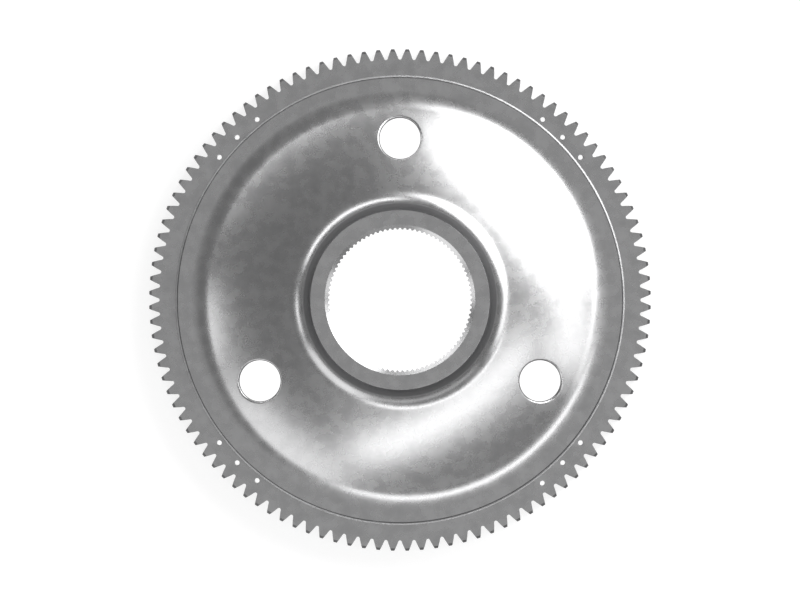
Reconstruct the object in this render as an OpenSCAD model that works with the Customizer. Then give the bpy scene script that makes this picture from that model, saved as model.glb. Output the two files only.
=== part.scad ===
// Reaction hub of a planetary final drive, forged and machined in one piece:
// a toothed rim, a flange, a domed web with three large holes, and a boss with a splined bore.
// The axis is Z. The hub lies on the back face of its rim, at z = 0, with the boss upwards.

/* [Rim teeth] */
// Number of teeth round the rim
rim_teeth = 108; // [104:1:112]
// Module of the rim teeth
rim_module = 6.5; // [6.25:0.05:6.75]
// Pressure angle of the rim teeth, in degrees
rim_angle = 22.5; // [20:0.5:25]
// Height of a rim tooth above the pitch circle
rim_addendum = 6.5; // [5.5:0.1:7]
// Depth of a rim tooth below the pitch circle
rim_dedendum = 8.45; // [7.5:0.05:9]
// Radial depth of the chamfer on the ends of the teeth
tip_chamfer = 3.25; // [1:0.25:5]

/* [Rim and flange] */
// Length of the teeth along the axis
rim_width = 55; // [45:1:65]
// Radial width of the rim's front face, from the tooth roots in to the step
rim_face_w = 25.75; // [22:0.25:28]
// Height of the step from the rim's face up to the flange
step_h = 5; // [4.5:0.5:10]
// Radius of the fillet at the foot of the step
step_fillet = 4; // [2:0.25:4.25]
// Radial width of the flat flange inside the step
flange_w = 18.3; // [14:0.1:22]
// Radius of the fillet between the flange and the web
flange_fillet = 55; // [45:1:65]
// Radial thickness of the rim under the tooth roots, behind the web
rim_depth = 27; // [24:0.5:32]
// Radius of the fillet between the rim and the back of the web
rim_back_fillet = 12; // [6:1:14]
// Chamfer on the inner back edge of the rim
rim_back_chamfer = 2; // [0.5:0.5:4]

/* [Web] */
// Radius of the web's crowned front
web_r = 440; // [410:5:470]
// Distance from the axis to the centre of the crown's arc
web_centre_r = 65; // [55:1:75]
// Thickness of the web
web_t = 27; // [20:0.5:32]

/* [Boss] */
// Diameter of the boss in front of the web
boss_d = 255; // [246:1:264]
// Radius of the fillet between the boss and the web
boss_fillet = 38; // [30:1:44]
// Straight height of the boss above its fillet
boss_land = 3; // [1:0.5:12]
// Length of the boss along the axis
boss_length = 110; // [95:1:125]
// Diameter of the sleeve behind the web
sleeve_d = 252; // [240:1:264]
// Radius of the fillet between the sleeve and the back of the web
sleeve_fillet = 20; // [10:1:26]
// Chamfer on the sleeve's back edge
sleeve_chamfer = 2; // [0.5:0.5:4]

/* [Splined bore] */
// Number of spline teeth in the bore
spline_teeth = 90; // [86:1:92]
// Module of the spline
spline_module = 2.25; // [2.15:0.05:2.3]
// Pressure angle of the spline, in degrees
spline_angle = 30; // [25:1:34]
// Radial width of the lead-in chamfer outside the spline
lead_in_w = 4.5; // [2:0.1:6]
// Slope of the lead-in chamfer from the boss's face, in degrees
lead_in_slope = 31; // [20:1:60]

/* [Large holes] */
// Number of large holes through the web
large_holes = 3; // [2:1:6]
// Diameter of the large holes
large_d = 58.4; // [50:0.1:66]
// Diameter of the circle that the large holes lie on
large_circle_d = 460; // [450:1:466]
// Rounding of the large holes' edges
large_round = 2.8; // [1:0.2:4]

/* [Small holes] */
// Groups of small holes round the rim
small_groups = 4; // [2:1:6]
// Diameter of the small holes
small_d = 6.8; // [5:0.1:9]
// Distance from the tooth roots in to the small holes' circle
small_inset = 14.5; // [12:0.25:16]
// Tooth pitches between neighbouring holes of a group
small_pitches = 2; // [2:1:4]
// Distance that the keying hole stands outside the circle
key_out = 2.6; // [0:0.1:4]
// Distance that the keying hole stands back along the circle
key_back = 2.7; // [0:0.1:5]

/* [Hidden] */

// Colour of the steel
steel_colour = [0.62, 0.62, 0.63];
// Facets in a full turn, where a mesh is drawn
fineness = 180;
// How far a cutter reaches past what it cuts
spare = 6;
// How far an arc bites past the lines it blends, so that they cross and don't only touch
bite = 0.002;
// Straight steps in a tooth flank, in a tooth's rounded root, in a spline flank and in a rounded hole edge;
// those of a root are odd in number, so that no corner lies on a plane where two sectors join
flank_steps = 3;
root_steps = 5;
spline_steps = 1;
round_steps = 3;
// Passes that settle where a tooth's root round meets its flank
settle_passes = 8;
// The teeth are cut sector by sector, and the sectors join into one solid on planes through the axis
sectors = 6;
sector_angle = 360 / sectors;
// The first large hole stands at the top, and the first group of small holes half way from there
top_angle = 90;
group_angle = 45;

// Radii of the rim, from the teeth inwards
pitch_r = rim_teeth * rim_module / 2;
tip_r = pitch_r + rim_addendum;
root_r = pitch_r - rim_dedendum;
small_circle_r = root_r - small_inset;
step_r = root_r - rim_face_w;
land_r = step_r - flange_w;
rim_inner_r = root_r - rim_depth;
rim_pitch = 360 / rim_teeth;

// Radii of the boss and the bore
boss_r = boss_d / 2;
sleeve_r = sleeve_d / 2;
spline_pitch = 360 / spline_teeth;
spline_pitch_r = spline_teeth * spline_module / 2;
spline_minor_r = spline_pitch_r - spline_module / 2;
spline_major_r = spline_pitch_r + spline_module / 2;
lead_in_r = spline_major_r + lead_in_w;
core_r = spline_minor_r - spare;
lead_in_h = (lead_in_r - core_r) * tan(lead_in_slope);

// The web's front is one arc, tangent to the flange's fillet outside and to the boss's fillet inside
flange_z = rim_width + step_h;
flange_arc = [land_r, flange_z + flange_fillet];
lean_outside = asin((land_r - web_centre_r) / (web_r + flange_fillet));
web_arc = [web_centre_r, flange_arc.y - (web_r + flange_fillet) * cos(lean_outside)];
lean_inside = asin((boss_r + boss_fillet - web_centre_r) / (web_r + boss_fillet));
boss_arc = [boss_r + boss_fillet, web_arc.y + (web_r + boss_fillet) * cos(lean_inside)];
front_z = boss_arc.y + boss_land;
back_z = front_z - boss_length;

// The web's back runs parallel to its front, and meets the sleeve in a fillet
web_back_r = web_r - web_t;
ceiling_z = flange_z - web_t;
lean_sleeve = asin((sleeve_r + sleeve_fillet - web_centre_r) / (web_back_r - sleeve_fillet));
sleeve_arc = [sleeve_r + sleeve_fillet, web_arc.y + (web_back_r - sleeve_fillet) * cos(lean_sleeve)];
rim_back_arc = [rim_inner_r - rim_back_fillet, ceiling_z - rim_back_fillet];

// A point of a section at a distance from an arc's centre, leaning outwards from straight up
function leaning(centre, r, lean) = centre + r * [sin(lean), cos(lean)];
// A point of an outline across the axis
function polar(r, angle) = r * [cos(angle), sin(angle)];

// Involute teeth: the pressure angle at a radius, and half of a tooth's thickness there, in degrees
function involute(angle) = tan(angle) * 180 / PI - angle;
function pressure_at(r, base_r) = acos(base_r / r);
function half_tooth(r, teeth, base_r, angle) =
    90 / teeth + involute(angle) - involute(pressure_at(r, base_r));

// The gap between two rim teeth: half of its width, the lean of its flank and the round at its root
rim_base_r = pitch_r * cos(rim_angle);
function half_gap(r) = rim_pitch / 2 - half_tooth(r, rim_teeth, rim_base_r, rim_angle);
function flank_lean(r) = pressure_at(r, rim_base_r) + half_gap(r);
function root_round(r) = r * sin(half_gap(r)) / cos(flank_lean(r));
function root_floor(r) = r * cos(half_gap(r)) - root_round(r) * (1 - sin(flank_lean(r)));
function settled(r, passes) = passes == 0 ? r : settled(r - root_floor(r) + root_r, passes - 1);

foot_r = settled(root_r + rim_module / 2, settle_passes);
foot_lean = flank_lean(foot_r);
foot_round = root_round(foot_r);

// One gap of the rim, from the tip of one tooth down to the root and up to the tip of the next
function flank_r(i) = foot_r + (tip_r - foot_r) * i / flank_steps;
function rim_gap(angle) = [
    for (i = [flank_steps:-1:0]) polar(flank_r(i), angle - half_gap(flank_r(i))),
    for (i = [1:root_steps - 1])
        let (turn = (90 - foot_lean) * (2 * i / root_steps - 1))
        polar(root_r + foot_round, angle) + polar(foot_round, angle + 180 - turn),
    for (i = [0:flank_steps]) polar(flank_r(i), angle + half_gap(flank_r(i)))
];

// One space of the spline, half a pitch on from a spline tooth
spline_base_r = spline_pitch_r * cos(spline_angle);
function spline_r(i) = spline_minor_r + (spline_major_r - spline_minor_r) * i / spline_steps;
function half_space(r) = half_tooth(r, spline_teeth, spline_base_r, spline_angle);
function spline_space(angle) = [
    for (i = [0:spline_steps]) polar(spline_r(i), angle + half_space(spline_r(i))),
    for (i = [spline_steps:-1:0]) polar(spline_r(i), angle - half_space(spline_r(i)))
];

module arc_disc(centre, r) {
    translate(centre) circle(r = r + bite, $fn = fineness);
}

// What lies under a crowned arc between two radii
module under_arc(centre, r, from_lean, to_lean) {
    from = leaning(centre, r, from_lean);
    to = leaning(centre, r, to_lean);
    intersection() {
        translate(centre) circle(r = r, $fn = fineness);
        translate([from.x, to.y - spare]) square([to.x - from.x, centre.y + r - to.y + spare]);
    }
}

// Everything behind the hub's front face, filled down to the rim's back face
module front_section() {
    difference() {
        union() {
            polygon([
                [core_r, 0],
                [tip_r - tip_chamfer, 0],
                [tip_r + spare, tip_chamfer + spare],
                [tip_r + spare, rim_width - tip_chamfer - spare],
                [tip_r - tip_chamfer, rim_width],
                [step_r + step_fillet, rim_width],
                [step_r, rim_width + step_fillet],
                [step_r, flange_z],
                [land_r, flange_z],
                leaning(web_arc, web_r, lean_outside),
                leaning(web_arc, web_r, lean_inside),
                [boss_r, boss_arc.y],
                [boss_r, front_z],
                [lead_in_r, front_z],
                [core_r, front_z - lead_in_h]
            ]);
            under_arc(web_arc, web_r, lean_inside, lean_outside);
        }
        arc_disc([step_r + step_fillet, rim_width + step_fillet], step_fillet);
        arc_disc(flange_arc, flange_fillet);
        arc_disc(boss_arc, boss_fillet);
    }
}

// The hollow behind the web, between the sleeve and the rim, and below the sleeve's back face
module back_section() {
    difference() {
        union() {
            polygon([
                [core_r - spare, -spare],
                [rim_inner_r + rim_back_chamfer + spare, -spare],
                [rim_inner_r, rim_back_chamfer],
                [rim_inner_r, rim_back_arc.y],
                [rim_back_arc.x, ceiling_z],
                [land_r, ceiling_z],
                leaning(web_arc, web_back_r, lean_outside),
                leaning(web_arc, web_back_r, lean_sleeve),
                [sleeve_r, sleeve_arc.y],
                [sleeve_r, back_z + sleeve_chamfer],
                [sleeve_r - sleeve_chamfer, back_z],
                [lead_in_r, back_z],
                [core_r - spare, back_z + lead_in_h + spare * tan(lead_in_slope)]
            ]);
            under_arc(web_arc, web_back_r, lean_sleeve, lean_outside);
            arc_disc(rim_back_arc, rim_back_fillet);
            arc_disc(sleeve_arc, sleeve_fillet);
        }
        arc_disc(flange_arc, flange_fillet + web_t);
    }
}

// A sector of the turned blank, before the teeth are cut
module blank_sector(start) {
    rotate_extrude(angle = sector_angle, start = start, $fn = fineness) difference() {
        front_section();
        back_section();
    }
}

// The outline of the rim teeth and the splined bore over a sector, with a pitch or two to spare at its ends
module sector_outline(start) {
    first_gap = floor(start / rim_pitch) - 1;
    last_gap = ceil((start + sector_angle) / rim_pitch) + 1;
    first_space = floor(start / spline_pitch) - 2;
    last_space = ceil((start + sector_angle) / spline_pitch) + 1;
    translate([0, 0, -spare]) linear_extrude(front_z + 2 * spare) polygon([
        for (i = [first_gap:last_gap]) each rim_gap(i * rim_pitch),
        for (i = [last_space:-1:first_space]) each spline_space((i + 0.5) * spline_pitch)
    ]);
}

// A sector of the hub with its rim teeth and spline, before the holes are drilled
module toothed_sector(start) {
    intersection() {
        blank_sector(start);
        sector_outline(start);
    }
}

// Height of the web's front or back over a radius
function web_z(r, arc_r) = web_arc.y + sqrt(arc_r * arc_r - pow(r - web_arc.x, 2));

// A point of a large hole's rounded edge, from the hole's wall at 0 to the web's face at round_steps
function mouth_edge(i) = leaning([large_round, -large_round], large_round, -90 * (1 - i / round_steps));

// The rounded mouth of a large hole, leaning with the web's slope there: side is 1 in front and -1 behind
module large_mouth(arc_r, side) {
    circle_r = large_circle_d / 2;
    hole_r = large_d / 2;
    outer_z = web_z(circle_r + hole_r, arc_r);
    inner_z = web_z(circle_r - hole_r, arc_r);
    beside_z = web_z(norm([circle_r, hole_r]), arc_r);
    slope = (outer_z - inner_z) / large_d;
    edge_z = ((outer_z + inner_z) / 2 + beside_z) / 2;
    first = mouth_edge(0) - (mouth_edge(1) - mouth_edge(0)) / 2;
    last = mouth_edge(round_steps) + (mouth_edge(round_steps) - mouth_edge(round_steps - 1));
    multmatrix([[1, 0, 0, circle_r], [0, 1, 0, 0], [slope, 0, side, edge_z], [0, 0, 0, 1]])
        rotate_extrude($fn = fineness) polygon([
            [0, first.y],
            [hole_r + first.x, first.y],
            for (i = [1:round_steps - 1]) [hole_r, 0] + mouth_edge(i),
            [hole_r + last.x, last.y],
            [hole_r + last.x, last.y + spare],
            [0, last.y + spare]
        ]);
}

module large_hole_cutter() {
    translate([large_circle_d / 2, 0, -spare])
        cylinder(h = front_z + 2 * spare, d = large_d, $fn = fineness);
    large_mouth(web_r, 1);
    large_mouth(web_back_r, -1);
}

// A small hole right through the rim
module small_hole_cutter(r, angle) {
    rotate(angle) translate([r, 0, -spare])
        cylinder(h = rim_width + 2 * spare, d = small_d, $fn = fineness);
}

// Groups of three small holes, with one hole of the last group moved, so that what bolts on fits one way only
module small_hole_cutters() {
    key_r = small_circle_r + key_out;
    for (group = [0:small_groups - 1], place = [-1:1]) {
        angle = group_angle + group * 360 / small_groups + place * small_pitches * rim_pitch;
        if (group == small_groups - 1 && place == -1)
            small_hole_cutter(key_r, angle - key_back / key_r * 180 / PI);
        else
            small_hole_cutter(small_circle_r, angle);
    }
}

module reaction_hub() {
    color(steel_colour) difference() {
        union() {
            for (i = [0:sectors - 1]) toothed_sector(i * sector_angle);
        }
        for (i = [0:large_holes - 1]) rotate(top_angle + i * 360 / large_holes) large_hole_cutter();
        small_hole_cutters();
    }
}

reaction_hub();
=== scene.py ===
from math import acos, asin, atan, atan2, cos, hypot, pi, radians, sin, sqrt, tan

import bmesh
import bpy
from mathutils import Matrix, Vector


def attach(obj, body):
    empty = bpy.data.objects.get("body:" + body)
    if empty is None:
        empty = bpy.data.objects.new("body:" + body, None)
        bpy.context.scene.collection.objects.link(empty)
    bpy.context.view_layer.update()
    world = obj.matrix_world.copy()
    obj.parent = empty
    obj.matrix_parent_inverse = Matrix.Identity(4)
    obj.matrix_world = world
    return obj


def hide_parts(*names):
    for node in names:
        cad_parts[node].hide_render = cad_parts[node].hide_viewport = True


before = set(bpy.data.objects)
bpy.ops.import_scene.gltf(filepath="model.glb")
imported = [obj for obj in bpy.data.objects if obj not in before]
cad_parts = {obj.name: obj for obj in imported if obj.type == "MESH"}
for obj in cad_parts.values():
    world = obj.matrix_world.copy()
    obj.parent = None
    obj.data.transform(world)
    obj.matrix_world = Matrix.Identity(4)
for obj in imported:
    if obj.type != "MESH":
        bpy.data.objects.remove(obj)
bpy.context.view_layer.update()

# Sizes of the hub in metres, as in the part's source
MM = 0.001
RIM_TEETH = 108
PITCH_R = 351 * MM
TIP_R = 357.5 * MM
ROOT_R = 342.55 * MM
RIM_ANGLE = radians(22.5)
TIP_CHAMFER = 3.25 * MM
RIM_WIDTH = 55 * MM
STEP_R = 316.8 * MM
STEP_FILLET = 4 * MM
FLANGE_Z = 60 * MM
LAND_R = 298.5 * MM
FLANGE_FILLET = 55 * MM
RIM_INNER_R = 315.55 * MM
RIM_BACK_FILLET = 12 * MM
RIM_BACK_CHAMFER = 2 * MM
WEB_R = 440 * MM
WEB_CENTRE_R = 65 * MM
WEB_T = 27 * MM
BOSS_R = 127.5 * MM
BOSS_FILLET = 38 * MM
BOSS_LAND = 3 * MM
BOSS_LENGTH = 110 * MM
SLEEVE_R = 126 * MM
SLEEVE_FILLET = 20 * MM
SLEEVE_CHAMFER = 2 * MM
SPLINE_TEETH = 90
SPLINE_PITCH_R = 101.25 * MM
SPLINE_MINOR_R = 100.125 * MM
SPLINE_MAJOR_R = 102.375 * MM
SPLINE_ANGLE = radians(30)
LEAD_IN_R = 106.875 * MM
LEAD_IN_SLOPE = radians(31)
LARGE_R = 29.2 * MM
LARGE_CIRCLE_R = 230 * MM
LARGE_ROUND = 2.8 * MM
LARGE_ANGLES = (90, 210, 330)
SMALL_R = 3.4 * MM
SMALL_CIRCLE_R = 328.05 * MM
SMALL_GROUPS = (45, 135, 225, 315)
SMALL_SPREAD = 6.66667
KEY_R = 330.65 * MM
KEY_BACK = 2.7 * MM

# Fine edges that machining leaves, which the camera sees as thin lines
BOSS_EDGE = 0.5 * MM
STEP_EDGE = 0.15 * MM
TOOTH_EDGE = 0.15 * MM
SMALL_EDGE = 0.4 * MM

# How finely the piece is meshed
TURNS = 540
RIM_JOIN_R = 337.5 * MM
RIM_PATCH_R = 336 * MM
SPLINE_JOIN_R = 103 * MM
PATCH_IN_R = 188 * MM
PATCH_OUT_R = 272 * MM
PATCH_RINGS = 14
PATCH_HALF_ANGLE = radians(11.4)
SMALL_PATCH = radians(2.2)
MERGE = 0.01 * MM
WALL_REACH = 4 * MERGE
CRISP_ANGLE = radians(30)
SMOOTH_ANGLE = radians(28)
STEP_FILLET_CUTS = 11
STEP_EDGE_CUTS = 2
FLANGE_CUTS = 10
WEB_CUTS = 6
BOSS_FILLET_CUTS = 20
BOSS_EDGE_CUTS = 3
SLEEVE_CUTS = 11
FLANGE_BACK_CUTS = 5
RIM_BACK_CUTS = 7
ROOT_TRIES = 12
ROOT_CUTS = 4
FLANK_CUTS = 5
TOOTH_BASE_CUTS = 5
LARGE_MOUTH_CUTS = 6
LARGE_MOUTH_RINGS = 3
SMALL_MOUTH_CUTS = 2
SMALL_MOUTH_POINTS = 36

# Finishes: clouds in the steel, and painted shade in corners, as two radii where it fades and a lowest
# height
NOISE_ROUGHNESS = 0.5
CLOUD_SCALE = 60.0
CLOUD_DETAIL = 2.0
CLOUD_LOW = 0.30
CLOUD_HIGH = 0.70
WAVE_SCALE = 40.0
WAVE_DETAIL = 1.0
WAVE_DEPTH = 0.08 * MM
SATIN_DARK = (0.525, 0.525, 0.53, 1)
SATIN_LIGHT = (0.60, 0.60, 0.605, 1)
SATIN_ROUGHNESS = (0.262, 0.282)
# Painted shade: a darker steel on the teeth's tip chamfers and the steep faces deep in the large mouths
CHAMFER_DARK = (0.17, 0.17, 0.172, 1)
CHAMFER_LIGHT = (0.20, 0.20, 0.203, 1)
CHAMFER_ROUGHNESS = (0.30, 0.34)
CHAMFER_FROM_R = 352.5 * MM
CHAMFER_LEAN = (0.3, 0.95)
MOUTH_LEAN = (0.05, 0.75)
# Painted shade: the corners of the boss and the step are darkened towards this tone, and made rougher
CORNER_SHADE_TONE = (0.165, 0.165, 0.168, 1)
CORNER_ROUGHNESS = 0.5
BOSS_CORNER_SHADE = (136 * MM, 142 * MM, 100 * MM)
STEP_CORNER_SHADE = (317.25 * MM, 318.3 * MM, 54.8 * MM)
# Painted shade on the step's fillet, a share of the corner tone, where the steel is also made duller
STEP_DULL_AND_SHADE = (320.3 * MM, 321.2 * MM, 54.8 * MM)
STEP_ROUGHNESS = 0.42
STEP_SHADE = 0.22
STEP_LIP = 0.45 * MM

# The floor with its painted pool of light, the panels and the camera
FLOOR_SIZE = 240
FLOOR_TONE = (0.3, 0.3, 0.3, 1)
FLOOR_ROUGHNESS = 0.9
POOL_R = 0.62
POOL_FADE_R = 1.5
POOL_LIGHT = 0.80
UNDER_R = 0.336
UNDER_FADE_R = 0.350
UNDER_LIGHT = 1.0
FAR_LIGHT = 0.42
WHITE = (1, 1, 1, 1)
SKY_RISE = (0.0, 0.6)
SKY_LIGHT = (0.14, 0.20)
AIM = Vector((0, 0, 80 * MM))
PANEL_DISTANCE = 12
PANEL_WATTS = 4
CAMERA_Z = 25
CLIP_END = 100
SENSOR_WIDTH = 36
IMAGE_WIDTH = 800
PIXEL = 1.4249 * MM

# Centres of the section's arcs, as (radius, height)
FLANGE_ARC = (LAND_R, FLANGE_Z + FLANGE_FILLET)
LEAN_OUT = asin((LAND_R - WEB_CENTRE_R) / (WEB_R + FLANGE_FILLET))
WEB_ARC = (WEB_CENTRE_R, FLANGE_ARC[1] - (WEB_R + FLANGE_FILLET) * cos(LEAN_OUT))
LEAN_IN = asin((BOSS_R + BOSS_FILLET - WEB_CENTRE_R) / (WEB_R + BOSS_FILLET))
BOSS_ARC = (BOSS_R + BOSS_FILLET, WEB_ARC[1] + (WEB_R + BOSS_FILLET) * cos(LEAN_IN))
FRONT_Z = BOSS_ARC[1] + BOSS_LAND
BACK_Z = FRONT_Z - BOSS_LENGTH
WEB_BACK_R = WEB_R - WEB_T
CEILING_Z = FLANGE_Z - WEB_T
FLANGE_BACK_R = FLANGE_FILLET + WEB_T
LEAN_SLEEVE = asin((SLEEVE_R + SLEEVE_FILLET - WEB_CENTRE_R) / (WEB_BACK_R - SLEEVE_FILLET))
SLEEVE_ARC = (SLEEVE_R + SLEEVE_FILLET, WEB_ARC[1] + (WEB_BACK_R - SLEEVE_FILLET) * cos(LEAN_SLEEVE))
PATCH_RADII = [PATCH_OUT_R + (PATCH_IN_R - PATCH_OUT_R) * i / PATCH_RINGS for i in range(PATCH_RINGS + 1)]


def arc(centre, r, start, end, steps):
    turns = [start + (end - start) * i / steps for i in range(steps + 1)]
    return [(centre[0] + r * cos(t), centre[1] + r * sin(t)) for t in turns]


def web_front_z(r):
    return WEB_ARC[1] + sqrt(WEB_R ** 2 - (r - WEB_ARC[0]) ** 2)


def web_back_z(r):
    if r > WEB_ARC[0] + WEB_BACK_R * sin(LEAN_OUT):
        return FLANGE_ARC[1] - sqrt(FLANGE_BACK_R ** 2 - (r - FLANGE_ARC[0]) ** 2)
    return WEB_ARC[1] + sqrt(WEB_BACK_R ** 2 - (r - WEB_ARC[0]) ** 2)


def lead_in_front_z(r):
    return FRONT_Z - (LEAD_IN_R - r) * tan(LEAD_IN_SLOPE)


def lead_in_back_z(r):
    return BACK_Z + (LEAD_IN_R - r) * tan(LEAD_IN_SLOPE)


def front_section():
    """The turned front from the rim's face in to the lead-in chamfer, as (radius, height)."""
    web_lean = asin((PATCH_IN_R - WEB_ARC[0]) / WEB_R)
    return [
        (RIM_JOIN_R, RIM_WIDTH),
        (RIM_PATCH_R, RIM_WIDTH),
        *arc((STEP_R + STEP_FILLET, RIM_WIDTH + STEP_FILLET), STEP_FILLET, 1.5 * pi, pi, STEP_FILLET_CUTS),
        *arc((STEP_R - STEP_EDGE, FLANGE_Z - STEP_EDGE), STEP_EDGE, 0, pi / 2, STEP_EDGE_CUTS),
        *arc(FLANGE_ARC, FLANGE_FILLET, 1.5 * pi, 1.5 * pi - LEAN_OUT, FLANGE_CUTS),
        *[(r, web_front_z(r)) for r in PATCH_RADII],
        *arc(WEB_ARC, WEB_R, pi / 2 - web_lean, pi / 2 - LEAN_IN, WEB_CUTS)[1:],
        *arc(BOSS_ARC, BOSS_FILLET, 1.5 * pi - LEAN_IN, pi, BOSS_FILLET_CUTS)[1:],
        *arc((BOSS_R - BOSS_EDGE, FRONT_Z - BOSS_EDGE), BOSS_EDGE, 0, pi / 2, BOSS_EDGE_CUTS),
        (LEAD_IN_R, FRONT_Z),
        (SPLINE_JOIN_R, lead_in_front_z(SPLINE_JOIN_R)),
    ]


def back_section():
    """The turned back from the lead-in chamfer out to the rim's back face, as (radius, height)."""
    web_lean = asin((PATCH_IN_R - WEB_ARC[0]) / WEB_BACK_R)
    flange_lean = asin((FLANGE_ARC[0] - PATCH_OUT_R) / FLANGE_BACK_R)
    rim_arc = (RIM_INNER_R - RIM_BACK_FILLET, CEILING_Z - RIM_BACK_FILLET)
    return [
        (SPLINE_JOIN_R, lead_in_back_z(SPLINE_JOIN_R)),
        (LEAD_IN_R, BACK_Z),
        (SLEEVE_R - SLEEVE_CHAMFER, BACK_Z),
        (SLEEVE_R, BACK_Z + SLEEVE_CHAMFER),
        *arc(SLEEVE_ARC, SLEEVE_FILLET, pi, pi / 2 - LEAN_SLEEVE, SLEEVE_CUTS),
        *arc(WEB_ARC, WEB_BACK_R, pi / 2 - LEAN_SLEEVE, pi / 2 - web_lean, WEB_CUTS)[1:-1],
        *[(r, web_back_z(r)) for r in reversed(PATCH_RADII)],
        *arc(FLANGE_ARC, FLANGE_BACK_R, 1.5 * pi - flange_lean, 1.5 * pi, FLANGE_BACK_CUTS)[1:],
        *arc(rim_arc, RIM_BACK_FILLET, pi / 2, 0, RIM_BACK_CUTS),
        (RIM_INNER_R, RIM_BACK_CHAMFER),
        (RIM_INNER_R + RIM_BACK_CHAMFER, 0),
        (RIM_PATCH_R, 0),
        (RIM_JOIN_R, 0),
    ]


def polar(r, turn, z=0.0):
    return Vector((r * cos(turn), r * sin(turn), z))


# Modelling by hand: a chain of points is drawn by extruding one corner of a plane
def start_piece(name):
    """A new piece in edit mode with one corner, at the origin."""
    bpy.ops.object.select_all(action="DESELECT")
    bpy.ops.mesh.primitive_plane_add(size=MM, location=(0, 0, 0))
    piece = bpy.context.object
    piece.name = piece.data.name = name
    bpy.ops.object.mode_set(mode="EDIT")
    bpy.ops.mesh.select_mode(type="VERT")
    bpy.ops.mesh.select_all(action="SELECT")
    bpy.ops.mesh.merge(type="CENTER")
    return piece


def draw_chain(points):
    """Moves the merged corner to the first point and extrudes it on through the others."""
    bpy.ops.mesh.select_all(action="SELECT")
    bpy.ops.transform.translate(value=points[0])
    for before, point in zip(points, points[1:]):
        bpy.ops.mesh.extrude_vertices_move(TRANSFORM_OT_translate={"value": point - before})
    bpy.ops.mesh.select_all(action="SELECT")


def mesh_in_hand():
    return bmesh.from_edit_mesh(bpy.context.edit_object.data)


def update_mesh():
    bmesh.update_edit_mesh(bpy.context.edit_object.data)


def pick(kind, test):
    """Selects only the vertices, edges or faces that pass a test, and says how many they are."""
    bpy.ops.mesh.select_mode(type={"verts": "VERT", "edges": "EDGE", "faces": "FACE"}[kind])
    bpy.ops.mesh.select_all(action="DESELECT")
    bm = mesh_in_hand()
    picked = [e for e in getattr(bm, kind) if test(e)]
    for element in picked:
        element.select_set(True)
    bm.select_flush_mode()
    update_mesh()
    return len(picked)


def chosen_corners():
    return [v for v in mesh_in_hand().verts if v.select]


def turned_shell(name, section):
    """A section drawn as a chain and spun once round the axis."""
    piece = start_piece(name)
    draw_chain([Vector((r, 0, z)) for r, z in section])
    bpy.ops.mesh.spin(steps=TURNS, angle=2 * pi, center=(0, 0, 0), axis=(0, 0, 1), use_auto_merge=True)
    bpy.ops.mesh.select_all(action="SELECT")
    bpy.ops.mesh.remove_doubles(threshold=MERGE)
    bpy.ops.object.mode_set(mode="OBJECT")
    return piece


def repeat_round(count):
    """Copies the whole of one sector round the axis and welds the sectors together."""
    bpy.ops.mesh.select_mode(type="VERT")
    bpy.ops.mesh.select_all(action="SELECT")
    bpy.ops.mesh.spin(steps=count - 1, dupli=True, angle=2 * pi * (count - 1) / count,
                      center=(0, 0, 0), axis=(0, 0, 1))
    bpy.ops.mesh.select_all(action="SELECT")
    bpy.ops.mesh.remove_doubles(threshold=MERGE)
    bpy.ops.object.mode_set(mode="OBJECT")


# Involute teeth: half of a tooth's thickness at a radius, as an angle
def involute(angle):
    return tan(angle) - angle


def half_tooth(r, pitch_r, teeth, angle):
    return pi / 2 / teeth + involute(angle) - involute(acos(min(1, pitch_r * cos(angle) / r)))


def half_gap(r):
    return pi / RIM_TEETH - half_tooth(r, PITCH_R, RIM_TEETH, RIM_ANGLE)


def root_round():
    """Where a gap's flank ends, how it leans there, and the radius that rounds the root, by trial."""
    r = ROOT_R + (PITCH_R - ROOT_R) / 4
    for _ in range(ROOT_TRIES):
        lean = acos(PITCH_R * cos(RIM_ANGLE) / r) + half_gap(r)
        round_r = r * sin(half_gap(r)) / cos(lean)
        r += ROOT_R - (r * cos(half_gap(r)) - round_r * (1 - sin(lean)))
    return r, lean, round_r


def tooth_ring():
    """The rim's teeth: one tooth is drawn from gap to gap, chamfered and edged, and copied round."""
    pitch = 2 * pi / RIM_TEETH
    foot_r, lean, round_r = root_round()
    bend = [pi - (pi / 2 - lean) * i / ROOT_CUTS for i in range(ROOT_CUTS)]
    root = [polar(ROOT_R + round_r, 0) + polar(round_r, turn) for turn in bend]
    flank = [foot_r + (TIP_R - foot_r) * i / FLANK_CUTS for i in range(FLANK_CUTS + 1)]
    rising = [Vector((p.x, abs(p.y), 0)) for p in root] + [polar(r, half_gap(r)) for r in flank]
    falling = [polar(p.length, pitch - atan2(p.y, p.x)) for p in reversed(rising)]
    inner = [polar(RIM_JOIN_R, pitch * i / TOOTH_BASE_CUTS) for i in range(TOOTH_BASE_CUTS, -1, -1)]
    piece = start_piece("tooth_ring")
    draw_chain(rising + falling + inner)
    bpy.ops.mesh.edge_face_add()
    bpy.ops.mesh.extrude_region_move(TRANSFORM_OT_translate={"value": (0, 0, RIM_WIDTH)})

    def on_side(face):
        turns = [atan2(v.co.y, v.co.x) for v in face.verts]
        inside = all(v.co.xy.length < RIM_JOIN_R + MERGE for v in face.verts)
        return inside or max(turns) < MERGE or min(turns) > pitch - MERGE

    pick("faces", on_side)
    bpy.ops.mesh.delete(type="FACE")
    for level, up in ((RIM_WIDTH, 1), (0, -1)):
        bpy.ops.mesh.select_all(action="SELECT")
        bpy.ops.mesh.bisect(plane_co=polar(TIP_R - TIP_CHAMFER, pitch / 2, level),
                            plane_no=polar(1, pitch / 2, up), use_fill=True, clear_outer=True)
    pick("edges", lambda e: len(e.link_faces) == 2 and e.calc_face_angle() > CRISP_ANGLE)
    bpy.ops.mesh.bevel(offset=TOOTH_EDGE, segments=1, affect="EDGES")
    repeat_round(RIM_TEETH)
    return piece


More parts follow.
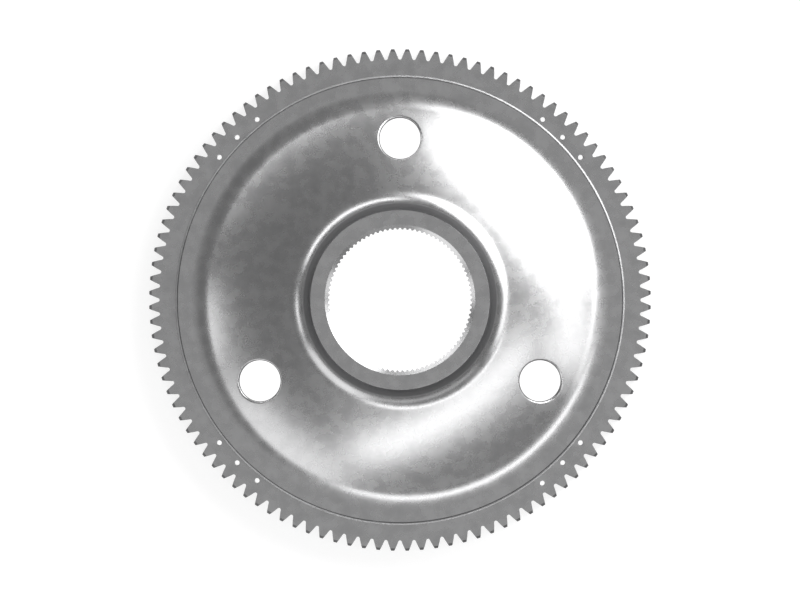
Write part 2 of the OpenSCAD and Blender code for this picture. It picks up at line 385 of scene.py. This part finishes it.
def spline_ring():
    """The splined bore: one pitch is drawn on the lead-in, drawn down the bore and copied round."""
    pitch = 2 * pi / SPLINE_TEETH
    at_tip = pitch / 2 - half_tooth(SPLINE_MINOR_R, SPLINE_PITCH_R, SPLINE_TEETH, SPLINE_ANGLE)
    at_root = pitch / 2 - half_tooth(SPLINE_MAJOR_R, SPLINE_PITCH_R, SPLINE_TEETH, SPLINE_ANGLE)
    outline = [
        (SPLINE_MINOR_R, 0),
        (SPLINE_MINOR_R, at_tip),
        (SPLINE_MAJOR_R, at_root),
        (SPLINE_MAJOR_R, pitch / 2),
    ]
    outline += [(r, pitch - turn) for r, turn in reversed(outline[:-1])]
    piece = start_piece("spline_ring")
    draw_chain([polar(r, turn, lead_in_front_z(r)) for r, turn in outline])

    def widen(cone_z):
        """Draws the chosen end of the spline out to the turned part of the lead-in."""
        bpy.ops.mesh.extrude_region_move()
        corners = sorted(chosen_corners(), key=lambda v: atan2(v.co.y, v.co.x))
        for i, v in enumerate(corners):
            v.co = polar(SPLINE_JOIN_R, pitch * i / (len(corners) - 1), cone_z(SPLINE_JOIN_R))
        update_mesh()

    def on_spline_end(edge):
        inside = all(v.co.xy.length < SPLINE_MAJOR_R + MERGE for v in edge.verts)
        return inside and len(edge.link_faces) == 1

    widen(lead_in_front_z)
    pick("edges", on_spline_end)
    bpy.ops.mesh.extrude_region_move(TRANSFORM_OT_translate={"value": (0, 0, BACK_Z - FRONT_Z)})
    for v in chosen_corners():
        v.co.z = lead_in_back_z(v.co.xy.length)
    update_mesh()
    widen(lead_in_back_z)
    repeat_round(SPLINE_TEETH)
    return piece


# Holes: a patch of the mesh is taken out, and a rounded mouth is drawn in and joined to what is left
def middle_of(edge):
    """An edge's middle, rounded, so that the edge can be found again after other steps."""
    return tuple(round(c, 6) for c in (edge.verts[0].co + edge.verts[1].co) / 2)


def open_mouth(shell, centre, hole_r, round_r, round_steps, surface_z, side, in_patch, count=None, cuts=0):
    """A hole's rounded mouth in a shell, where side is 1 on the front and -1 on the back."""
    bpy.context.view_layer.objects.active = shell
    bpy.ops.object.mode_set(mode="EDIT")
    pick("faces", in_patch)
    bpy.ops.mesh.region_to_loop()
    middles = {middle_of(e) for e in mesh_in_hand().edges if e.select}
    corners = [v.co.copy() for v in chosen_corners()]
    pick("faces", in_patch)
    bpy.ops.mesh.delete(type="FACE")

    def turn_of(point):
        return atan2(point.y - centre.y, point.x - centre.x) % (2 * pi)

    def surface_at(out, turn):
        return surface_z(hypot(centre.x + out * cos(turn), centre.y + out * sin(turn)))

    if count:
        turns = [2 * pi * i / count for i in range(count)]
    else:
        turns = sorted({round(turn_of(p), 7) for p in corners})

    def mouth_point(turn, step):
        """A point of the rounded edge: step 0 lies on the surface, and the last one on the hole's wall."""
        slope = atan((surface_at(hole_r + round_r, turn) - surface_at(hole_r, turn)) / round_r * side)
        face = surface_at(hole_r, turn) * side + round_r * tan(slope)
        ball = (hole_r + round_r, face - round_r / cos(slope))
        lean = pi / 2 + slope + (pi / 2 - slope) * step / round_steps
        out = ball[0] + round_r * cos(lean)
        z = (ball[1] + round_r * sin(lean)) * side if step else surface_at(out, turn)
        return Vector((centre.x + out * cos(turn), centre.y + out * sin(turn), z))

    bpy.ops.mesh.select_mode(type="VERT")
    bpy.ops.mesh.select_all(action="DESELECT")
    bpy.ops.mesh.primitive_circle_add(vertices=len(turns), radius=hole_r, location=(centre.x, centre.y, 0))
    for turn, v in zip(turns, sorted(chosen_corners(), key=lambda v: turn_of(v.co))):
        v.co = mouth_point(turn, 0)
    update_mesh()
    lip = {middle_of(e) for e in mesh_in_hand().edges if e.select}
    for step in range(1, round_steps + 1):
        bpy.ops.mesh.extrude_region_move()
        for v in chosen_corners():
            nearest = min(turns, key=lambda t: abs((t - turn_of(v.co) + pi) % (2 * pi) - pi))
            v.co = mouth_point(nearest, step)
        update_mesh()
    both = middles | lip
    pick("edges", lambda e: middle_of(e) in both)
    if cuts:
        before = len(mesh_in_hand().verts)
        bpy.ops.mesh.bridge_edge_loops(number_cuts=cuts, interpolation="LINEAR")
        bm = mesh_in_hand()
        bm.verts.ensure_lookup_table()
        for v in bm.verts[before:]:
            v.co.z = surface_z(v.co.xy.length)
        update_mesh()
    else:
        bpy.ops.mesh.fill()
    bpy.ops.object.mode_set(mode="OBJECT")


def line_hole(centre, hole_r):
    """Joins the front and back mouths of a hole by its wall."""
    bpy.ops.object.mode_set(mode="EDIT")
    pick("edges", lambda e: len(e.link_faces) == 1
         and all(abs((v.co.xy - centre.xy).length - hole_r) < WALL_REACH for v in e.verts))
    bpy.ops.mesh.bridge_edge_loops()
    bpy.ops.object.mode_set(mode="OBJECT")


def small_holes():
    """Centres of the small holes: three to a group, with one of the last group moved out and back."""
    for group in SMALL_GROUPS:
        for place in (-1, 0, 1):
            turn = radians(group + place * SMALL_SPREAD)
            if group == SMALL_GROUPS[-1] and place == -1:
                yield polar(KEY_R, turn - KEY_BACK / KEY_R)
            else:
                yield polar(SMALL_CIRCLE_R, turn)


def near_turn(centre, half):
    """A test of points: does a point lie within an angle of a hole's centre, seen from the axis?"""
    middle = atan2(centre.y, centre.x)

    def test(point):
        return abs((atan2(point.y, point.x) - middle + pi) % (2 * pi) - pi) < half

    return test


def forged_hub():
    """The whole hub as one closed mesh: two turned shells with their holes, the teeth and the spline."""
    front = turned_shell("front_shell", front_section())
    back = turned_shell("back_shell", back_section())
    for angle in LARGE_ANGLES:
        centre = polar(LARGE_CIRCLE_R, radians(angle))
        beside = near_turn(centre, PATCH_HALF_ANGLE)

        def in_web(face):
            point = face.calc_center_median()
            return PATCH_IN_R < point.xy.length < PATCH_OUT_R and beside(point)

        open_mouth(front, centre, LARGE_R, LARGE_ROUND, LARGE_MOUTH_CUTS, web_front_z, 1, in_web,
                   cuts=LARGE_MOUTH_RINGS)
        open_mouth(back, centre, LARGE_R, LARGE_ROUND, LARGE_MOUTH_CUTS, web_back_z, -1, in_web,
                   cuts=LARGE_MOUTH_RINGS)
    for centre in small_holes():
        beside = near_turn(centre, SMALL_PATCH)

        def in_rim(face):
            point = face.calc_center_median()
            return STEP_R + STEP_FILLET < point.xy.length < RIM_PATCH_R and beside(point)

        def in_rim_back(face):
            point = face.calc_center_median()
            return RIM_INNER_R + RIM_BACK_CHAMFER < point.xy.length < RIM_PATCH_R and beside(point)

        open_mouth(front, centre, SMALL_R, SMALL_EDGE, SMALL_MOUTH_CUTS, lambda r: RIM_WIDTH, 1, in_rim,
                   count=SMALL_MOUTH_POINTS)
        open_mouth(back, centre, SMALL_R, SMALL_EDGE, SMALL_MOUTH_CUTS, lambda r: 0.0, -1, in_rim_back,
                   count=SMALL_MOUTH_POINTS)
    pieces = [front, back, tooth_ring(), spline_ring()]
    bpy.ops.object.select_all(action="DESELECT")
    for piece in pieces:
        piece.select_set(True)
    bpy.context.view_layer.objects.active = front
    bpy.ops.object.join()
    hub = bpy.context.object
    hub.name = hub.data.name = "forged_hub"
    for angle in LARGE_ANGLES:
        line_hole(polar(LARGE_CIRCLE_R, radians(angle)), LARGE_R)
    for centre in small_holes():
        line_hole(centre, SMALL_R)
    bpy.ops.object.mode_set(mode="EDIT")
    bpy.ops.mesh.select_mode(type="VERT")
    bpy.ops.mesh.select_all(action="SELECT")
    bpy.ops.mesh.remove_doubles(threshold=MERGE)
    bpy.ops.mesh.normals_make_consistent(inside=False)
    bpy.ops.object.mode_set(mode="OBJECT")
    finish_hub(hub)
    bpy.ops.object.shade_smooth_by_angle(angle=SMOOTH_ANGLE)
    bpy.ops.object.modifier_add(type="WEIGHTED_NORMAL")
    hub.modifiers[-1].keep_sharp = True
    bpy.ops.object.modifier_apply(modifier=hub.modifiers[-1].name)
    return hub


# Nodes that several materials use
def blend_node(nodes, links, source, low, high, to_low, to_high):
    """A smooth passage from one value to another as the source goes from low to high."""
    node = nodes.new("ShaderNodeMapRange")
    node.interpolation_type = "SMOOTHSTEP"
    node.inputs["From Min"].default_value = low
    node.inputs["From Max"].default_value = high
    node.inputs["To Min"].default_value = to_low
    node.inputs["To Max"].default_value = to_high
    links.new(source, node.inputs["Value"])
    return node.outputs["Result"]


def maths_node(nodes, links, operation, first, second):
    """One step of reckoning with two values, of which the second may be a plain number."""
    node = nodes.new("ShaderNodeMath")
    node.operation = operation
    links.new(first, node.inputs[0])
    if isinstance(second, float):
        node.inputs[1].default_value = second
    else:
        links.new(second, node.inputs[1])
    return node.outputs["Value"]


def noise_node(nodes, links, vector, scale, detail):
    node = nodes.new("ShaderNodeTexNoise")
    node.inputs["Scale"].default_value = scale
    node.inputs["Detail"].default_value = detail
    node.inputs["Roughness"].default_value = NOISE_ROUGHNESS
    links.new(vector, node.inputs["Vector"])
    return node.outputs["Fac"]


def radius_node(nodes, links, place):
    """How far a point stands from the hub's axis."""
    flat = nodes.new("ShaderNodeCombineXYZ")
    links.new(place.outputs["X"], flat.inputs["X"])
    links.new(place.outputs["Y"], flat.inputs["Y"])
    length = nodes.new("ShaderNodeVectorMath")
    length.operation = "LENGTH"
    links.new(flat.outputs["Vector"], length.inputs[0])
    return length.outputs["Value"]


def corner_node(nodes, links, radius, height, wall_r, fade_from, fade_to, level):
    """1 in a turned corner from its wall on, fading out along its fillet, and only above a height."""
    fade = blend_node(nodes, links, radius, fade_from, fade_to, 1.0, 0.0)
    outside = maths_node(nodes, links, "GREATER_THAN", radius, wall_r)
    above = maths_node(nodes, links, "GREATER_THAN", height, level)
    return maths_node(nodes, links, "MULTIPLY", maths_node(nodes, links, "MULTIPLY", fade, outside), above)


def steel_finish(name, dark, light, roughness):
    """Clouded steel: colour, gloss and a slight waviness follow soft clouds over the surface."""
    steel = bpy.data.materials.new(name)
    steel.use_nodes = True
    nodes, links = steel.node_tree.nodes, steel.node_tree.links
    shader = nodes["Principled BSDF"]
    shader.inputs["Metallic"].default_value = 1.0
    where = nodes.new("ShaderNodeTexCoord")
    clouds = noise_node(nodes, links, where.outputs["Object"], CLOUD_SCALE, CLOUD_DETAIL)
    waves = noise_node(nodes, links, where.outputs["Object"], WAVE_SCALE, WAVE_DETAIL)

    tone = nodes.new("ShaderNodeValToRGB")
    tone.color_ramp.elements[0].position = CLOUD_LOW
    tone.color_ramp.elements[0].color = dark
    tone.color_ramp.elements[1].position = CLOUD_HIGH
    tone.color_ramp.elements[1].color = light
    links.new(clouds, tone.inputs["Fac"])
    links.new(tone.outputs["Color"], shader.inputs["Base Color"])
    gloss = blend_node(nodes, links, clouds, CLOUD_LOW, CLOUD_HIGH, *roughness)
    links.new(gloss, shader.inputs["Roughness"])

    ripple = nodes.new("ShaderNodeBump")
    ripple.inputs["Strength"].default_value = 1.0
    ripple.inputs["Distance"].default_value = WAVE_DEPTH
    links.new(waves, ripple.inputs["Height"])
    links.new(ripple.outputs["Normal"], shader.inputs["Normal"])
    return steel, where, tone.outputs["Color"], gloss


def satin_steel():
    """The turned faces, with painted shade in the corners of the boss and the step and on the step's
    fillet, which are also duller.
    """
    steel, where, colour, gloss = steel_finish("satin_steel", SATIN_DARK, SATIN_LIGHT, SATIN_ROUGHNESS)
    nodes, links = steel.node_tree.nodes, steel.node_tree.links
    shader = nodes["Principled BSDF"]
    place = nodes.new("ShaderNodeSeparateXYZ")
    links.new(where.outputs["Object"], place.inputs["Vector"])
    radius = radius_node(nodes, links, place)
    height = place.outputs["Z"]
    # Painted shade: the corners of the boss and the step are darkened towards a dark tone
    boss = corner_node(nodes, links, radius, height, BOSS_R - MERGE, *BOSS_CORNER_SHADE)
    step = corner_node(nodes, links, radius, height, STEP_R - STEP_LIP, *STEP_CORNER_SHADE)
    corner = maths_node(nodes, links, "MAXIMUM", boss, step)
    # Painted shade on the step's fillet: a share of the dark tone, with more roughness
    fillet = corner_node(nodes, links, radius, height, STEP_R - MERGE, *STEP_DULL_AND_SHADE)
    shade = maths_node(nodes, links, "MULTIPLY", fillet, STEP_SHADE)
    darken = nodes.new("ShaderNodeMix")
    darken.data_type = "RGBA"
    links.new(maths_node(nodes, links, "MAXIMUM", corner, shade), darken.inputs["Factor"])
    links.new(colour, darken.inputs["A"])
    darken.inputs["B"].default_value = CORNER_SHADE_TONE
    links.new(darken.outputs["Result"], shader.inputs["Base Color"])
    corner_roughness = maths_node(nodes, links, "MULTIPLY", corner, CORNER_ROUGHNESS)
    fillet = maths_node(nodes, links, "MULTIPLY", fillet, STEP_ROUGHNESS)
    dullest = maths_node(nodes, links, "MAXIMUM", corner_roughness, fillet)
    links.new(maths_node(nodes, links, "MAXIMUM", gloss, dullest), shader.inputs["Roughness"])
    return steel


def finish_hub(hub):
    """Satin steel all over, and painted shade, a darker steel, on the teeth's tip chamfers and deep in the
    large mouths.
    """
    chamfer_shade_steel = steel_finish("chamfer_shade_steel", CHAMFER_DARK, CHAMFER_LIGHT, CHAMFER_ROUGHNESS)[0]
    hub.data.materials.append(satin_steel())
    hub.data.materials.append(chamfer_shade_steel)
    mouths = [polar(LARGE_CIRCLE_R, radians(angle)).xy for angle in LARGE_ANGLES]

    def on_dark_edge(face):
        middle = face.calc_center_median().xy
        lean = abs(face.normal.z)
        on_tip = middle.length > CHAMFER_FROM_R and CHAMFER_LEAN[0] < lean < CHAMFER_LEAN[1]
        in_mouth = any((middle - m).length < LARGE_R + LARGE_ROUND for m in mouths)
        steep = MOUTH_LEAN[0] < lean < MOUTH_LEAN[1]
        return on_tip or (in_mouth and steep)

    # Painted shade: the tip chamfers and the steep faces in the large mouths get the darker steel
    bpy.ops.object.mode_set(mode="EDIT")
    pick("faces", on_dark_edge)
    hub.active_material_index = 1
    bpy.ops.object.material_slot_assign()
    bpy.ops.object.mode_set(mode="OBJECT")


def lay_floor():
    """A pale floor with a painted pool of light round the hub, which keeps its shadow, and painted pure
    white below it.
    """
    bpy.ops.object.select_all(action="DESELECT")
    bpy.ops.mesh.primitive_plane_add(size=FLOOR_SIZE, location=(0, 0, 0))
    floor = bpy.context.object
    floor.name = "floor"
    paint = bpy.data.materials.new("pale_floor")
    paint.use_nodes = True
    nodes, links = paint.node_tree.nodes, paint.node_tree.links
    shader = nodes["Principled BSDF"]
    shader.inputs["Base Color"].default_value = FLOOR_TONE
    shader.inputs["Roughness"].default_value = FLOOR_ROUGHNESS
    shader.inputs["Specular IOR Level"].default_value = 0.0
    shader.inputs["Emission Color"].default_value = WHITE
    rays = nodes.new("ShaderNodeLightPath")
    seen = maths_node(nodes, links, "MAXIMUM", rays.outputs["Is Camera Ray"], rays.outputs["Is Glossy Ray"])
    seen = maths_node(nodes, links, "MAXIMUM", seen, rays.outputs["Is Transmission Ray"])
    where = nodes.new("ShaderNodeTexCoord")
    reach = nodes.new("ShaderNodeVectorMath")
    reach.operation = "LENGTH"
    links.new(where.outputs["Object"], reach.inputs[0])
    # Painted light: the floor glows for camera, glossy and transmission rays, brightest under the hub and
    # fading far off
    pool = blend_node(nodes, links, reach.outputs["Value"], POOL_R, POOL_FADE_R, POOL_LIGHT, FAR_LIGHT)
    under = blend_node(nodes, links, reach.outputs["Value"], UNDER_R, UNDER_FADE_R, UNDER_LIGHT, 0.0)
    pool = maths_node(nodes, links, "MAXIMUM", pool, under)
    links.new(maths_node(nodes, links, "MULTIPLY", pool, seen), shader.inputs["Emission Strength"])
    floor.data.materials.append(paint)


# Studio light: name, shape, azimuth, lean from straight up, roll in degrees, spread, depth, brightness
PANELS = (
    ("softbox_upper_right", "ELLIPSE", 41, 53.5, 0, 1.0, 0.86, 2.4),
    ("softbox_wide", "ELLIPSE", 41, 44, 0, 1.35, 0.46, 1.5),
    ("panel_right", "RECTANGLE", 346, 52, 0, 0.30, 0.34, 1.6),
    ("strip_below", "RECTANGLE", 291.7, 31.2, 15, 1.05, 0.168, 2.2),
    ("strip_upper_left", "RECTANGLE", 123.5, 66.5, 0, 1.34, 0.18, 2.6),
    ("strip_left", "RECTANGLE", 188, 60, 0, 0.34, 0.18, 1.7),
    ("panel_lower_left", "RECTANGLE", 230, 63, 0, 0.72, 0.56, 1.0),
    ("strip_low", "RECTANGLE", 285, 68, 0, 1.25, 0.20, 0.55),
    ("overhead", "RECTANGLE", 290, 18, 0, 0.85, 0.9, 0.17),
)


def light_panel(name, shape, azimuth, lean, roll, spread, depth, radiance):
    """A panel at a set distance, its sizes given over that distance and its watts to a square metre."""
    turn, tilt = radians(azimuth), radians(lean)
    towards = Vector((sin(tilt) * cos(turn), sin(tilt) * sin(turn), cos(tilt)))
    lamp = bpy.data.lights.new(name, "AREA")
    lamp.shape = shape
    lamp.size = spread * PANEL_DISTANCE
    lamp.size_y = depth * PANEL_DISTANCE
    area = lamp.size * lamp.size_y * (pi / 4 if shape == "ELLIPSE" else 1)
    lamp.energy = radiance * PANEL_WATTS * area
    panel = bpy.data.objects.new(name, lamp)
    facing = towards.to_track_quat("Z", "Y").to_matrix().to_4x4() @ Matrix.Rotation(radians(roll), 4, "Z")
    panel.matrix_world = Matrix.Translation(AIM + towards * PANEL_DISTANCE) @ facing
    panel.visible_camera = False
    bpy.context.scene.collection.objects.link(panel)


def light_studio():
    """All the panels, and a dim world that grows lighter upwards."""
    for panel in PANELS:
        light_panel(*panel)
    world = bpy.data.worlds.new("studio")
    bpy.context.scene.world = world
    world.use_nodes = True
    nodes, links = world.node_tree.nodes, world.node_tree.links
    sky = nodes["Background"]
    sky.inputs["Color"].default_value = WHITE
    where = nodes.new("ShaderNodeTexCoord")
    split = nodes.new("ShaderNodeSeparateXYZ")
    links.new(where.outputs["Generated"], split.inputs["Vector"])
    glow = blend_node(nodes, links, split.outputs["Z"], *SKY_RISE, *SKY_LIGHT)
    links.new(glow, sky.inputs["Strength"])


def set_camera():
    """Straight above the hub, far off, as the photograph has next to no perspective."""
    lens = bpy.data.cameras.new("camera")
    camera = bpy.data.objects.new("camera", lens)
    bpy.context.scene.collection.objects.link(camera)
    camera.location = (0, 0, CAMERA_Z)
    lens.sensor_width = SENSOR_WIDTH
    lens.lens = SENSOR_WIDTH * (CAMERA_Z - RIM_WIDTH) / (IMAGE_WIDTH * PIXEL)
    lens.clip_end = CLIP_END
    bpy.context.scene.camera = camera


set_camera()
light_studio()
lay_floor()
hub = forged_hub()
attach(hub, "root")
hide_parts("reaction_hub")

bpy.context.scene.view_settings.view_transform = "Standard"
